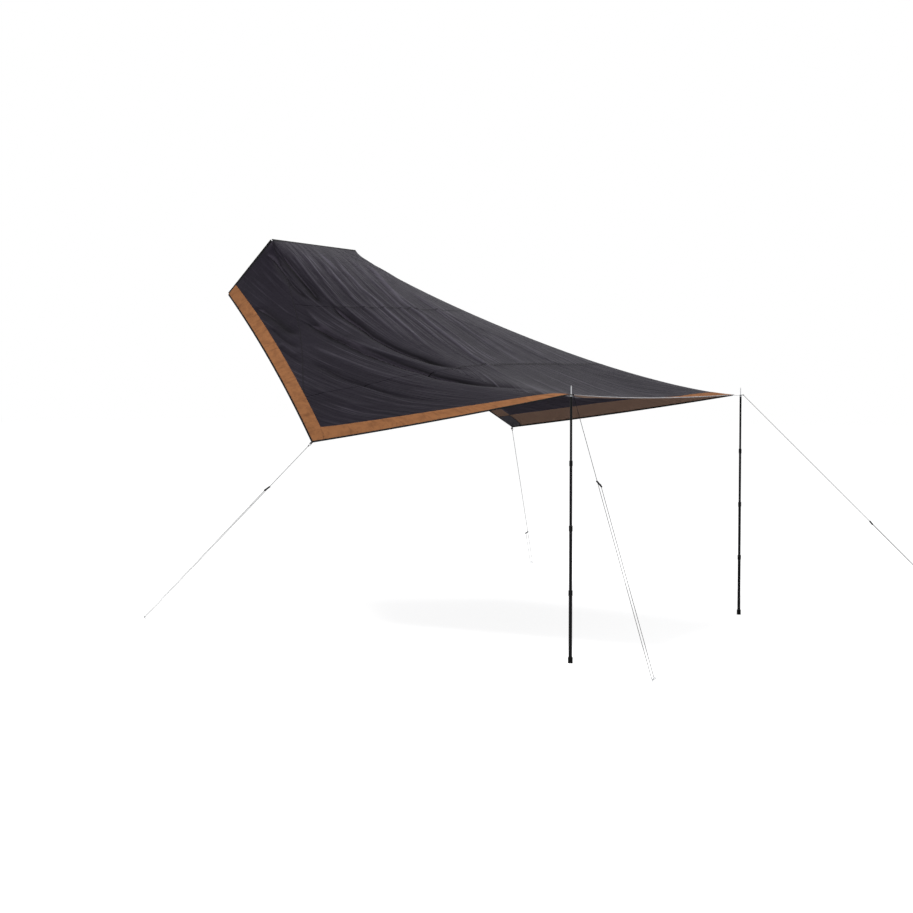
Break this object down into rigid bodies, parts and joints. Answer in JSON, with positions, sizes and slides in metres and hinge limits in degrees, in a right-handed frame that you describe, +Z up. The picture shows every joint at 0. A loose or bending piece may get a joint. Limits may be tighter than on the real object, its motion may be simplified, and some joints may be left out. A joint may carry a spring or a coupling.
{
  "type": "roof tent sun canopy",
  "caption": "Stretched fabric awning for a roof tent, with raked wings, tan edge bands, telescoping corner poles and guy ropes that run to ground pegs",
  "frame": {"origin": "Middle of the front edge bead, where the canopy starts at the roof tent's rail", "axes": "+X from the tent toward the poles, +Y to the far side, +Z up"},
  "size_m": [6.421, 5.8627, 3.8095],
  "materials": {
    "ripstop": "matte coated ripstop with a soft sheen",
    "tan_band": "matte canvas, mottled darker where it creases",
    "binding": "matte woven tape",
    "hem": "light grey woven tape with a soft sheen",
    "webbing": "matte woven webbing",
    "keder": "smooth coated tape over a cord",
    "pole_tube": "black anodised, satin",
    "collar": "moulded, satin black",
    "rubber": "matte black",
    "steel": "zinc plated, satin",
    "rope": "braided dark cord with light flecks",
    "slider": "dark anodised, satin"
  },
  "bodies": {
    "canopy": {"rear_panel": "ripstop", "middle_panel": "ripstop", "front_panel": "ripstop", "near_gusset": "ripstop", "far_gusset": "ripstop", "near_side_band": "tan_band", "far_side_band": "tan_band", "near_lower_band": "tan_band", "front_band": "tan_band", "far_lower_band": "tan_band", "near_edge_binding": "binding", "far_edge_binding": "binding", "front_hem": "hem", "near_wing_patch": "webbing", "far_wing_patch": "webbing", "near_pole_tab": "webbing", "far_pole_tab": "webbing", "near_wing_tab": "webbing", "far_wing_tab": "webbing", "near_side_keder": "keder", "front_keder": "keder", "far_side_keder": "keder", "near_eyelet": "steel", "far_eyelet": "steel", "near_pole_rope": "rope", "far_pole_rope": "rope", "near_wing_rope": "rope", "far_wing_rope": "rope"},
    "near_pole_top": {"near_spike": "steel", "near_tube_1": "pole_tube", "near_plug_1": "collar"},
    "near_pole_second": {"near_tube_2": "pole_tube", "near_plug_2": "collar"},
    "near_pole_third": {"near_tube_3": "pole_tube", "near_plug_3": "collar"},
    "near_pole_bottom": {"near_tube_4": "pole_tube", "near_foot": "rubber"},
    "near_twist_1": {"near_collar_1": "collar"},
    "near_twist_2": {"near_collar_2": "collar"},
    "near_twist_3": {"near_collar_3": "collar"},
    "far_pole_top": {"far_spike": "steel", "far_tube_1": "pole_tube", "far_plug_1": "collar"},
    "far_pole_second": {"far_tube_2": "pole_tube", "far_plug_2": "collar"},
    "far_pole_third": {"far_tube_3": "pole_tube", "far_plug_3": "collar"},
    "far_pole_bottom": {"far_tube_4": "pole_tube", "far_foot": "rubber"},
    "far_twist_1": {"far_collar_1": "collar"},
    "far_twist_2": {"far_collar_2": "collar"},
    "far_twist_3": {"far_collar_3": "collar"},
    "near_pole_adjuster": {"near_pole_slider": "slider"},
    "near_pole_stake": {"near_pole_peg": "steel"},
    "far_pole_adjuster": {"far_pole_slider": "slider"},
    "far_pole_stake": {"far_pole_peg": "steel"},
    "near_wing_adjuster": {"near_wing_slider": "slider"},
    "near_wing_stake": {"near_wing_peg": "steel"},
    "far_wing_adjuster": {"far_wing_slider": "slider"},
    "far_wing_stake": {"far_wing_peg": "steel"}
  },
  "joints": [
    {"name": "near_pole_tilt", "type": "hinge", "parent": "canopy", "child": "near_pole_top", "pos_m": [3.96, -1.548, -1.554], "axis": [0, 1, 0], "range_deg": [-8, 8]},
    {"name": "near_upper_slide", "type": "slide", "parent": "near_pole_top", "child": "near_pole_second", "axis": [0, 0, 1], "range_m": [0, 0.45]},
    {"name": "near_middle_slide", "type": "slide", "parent": "near_pole_second", "child": "near_pole_third", "axis": [0, 0, 1], "range_m": [0, 0.45]},
    {"name": "near_lower_slide", "type": "slide", "parent": "near_pole_third", "child": "near_pole_bottom", "axis": [0, 0, 1], "range_m": [0, 0.45]},
    {"name": "near_collar_1_twist", "type": "hinge", "parent": "near_pole_second", "child": "near_twist_1", "pos_m": [3.96, -1.548, -2.078], "axis": [0, 0, 1], "range_deg": [0, 150]},
    {"name": "near_collar_2_twist", "type": "hinge", "parent": "near_pole_third", "child": "near_twist_2", "pos_m": [3.96, -1.548, -2.59], "axis": [0, 0, 1], "range_deg": [0, 150]},
    {"name": "near_collar_3_twist", "type": "hinge", "parent": "near_pole_bottom", "child": "near_twist_3", "pos_m": [3.96, -1.548, -3.1], "axis": [0, 0, 1], "range_deg": [0, 150]},
    {"name": "far_pole_tilt", "type": "hinge", "parent": "canopy", "child": "far_pole_top", "pos_m": [4.015, 1.548, -1.554], "axis": [0, 1, 0], "range_deg": [-8, 8]},
    {"name": "far_upper_slide", "type": "slide", "parent": "far_pole_top", "child": "far_pole_second", "axis": [0, 0, 1], "range_m": [0, 0.45]},
    {"name": "far_middle_slide", "type": "slide", "parent": "far_pole_second", "child": "far_pole_third", "axis": [0, 0, 1], "range_m": [0, 0.45]},
    {"name": "far_lower_slide", "type": "slide", "parent": "far_pole_third", "child": "far_pole_bottom", "axis": [0, 0, 1], "range_m": [0, 0.45]},
    {"name": "far_collar_1_twist", "type": "hinge", "parent": "far_pole_second", "child": "far_twist_1", "pos_m": [4.015, 1.548, -2.078], "axis": [0, 0, 1], "range_deg": [0, 150]},
    {"name": "far_collar_2_twist", "type": "hinge", "parent": "far_pole_third", "child": "far_twist_2", "pos_m": [4.015, 1.548, -2.59], "axis": [0, 0, 1], "range_deg": [0, 150]},
    {"name": "far_collar_3_twist", "type": "hinge", "parent": "far_pole_bottom", "child": "far_twist_3", "pos_m": [4.015, 1.548, -3.1], "axis": [0, 0, 1], "range_deg": [0, 150]},
    {"name": "near_pole_slider_slide", "type": "slide", "parent": "canopy", "child": "near_pole_adjuster", "axis": [0.3744, -0.1336, -0.9176], "range_m": [0, 0.3]},
    {"name": "near_pole_peg_pull", "type": "slide", "parent": "canopy", "child": "near_pole_stake", "axis": [0.4732, -0.1615, 0.866], "range_m": [0, 0.15]},
    {"name": "far_pole_slider_slide", "type": "slide", "parent": "canopy", "child": "far_pole_adjuster", "axis": [0.5999, 0.3759, -0.7063], "range_m": [0, 0.3]},
    {"name": "far_pole_peg_pull", "type": "slide", "parent": "canopy", "child": "far_pole_stake", "axis": [0.4221, 0.268, 0.866], "range_m": [0, 0.15]},
    {"name": "near_wing_slider_slide", "type": "slide", "parent": "canopy", "child": "near_wing_adjuster", "axis": [-0.7261, -0.1285, -0.6754], "range_m": [0, 0.3]},
    {"name": "near_wing_peg_pull", "type": "slide", "parent": "canopy", "child": "near_wing_stake", "axis": [-0.4917, -0.0906, 0.866], "range_m": [0, 0.15]},
    {"name": "far_wing_slider_slide", "type": "slide", "parent": "canopy", "child": "far_wing_adjuster", "axis": [-0.3724, 0.733, -0.5692], "range_m": [0, 0.3]},
    {"name": "far_wing_peg_pull", "type": "slide", "parent": "canopy", "child": "far_wing_stake", "axis": [-0.2288, 0.4446, 0.866], "range_m": [0, 0.15]}
  ]
}
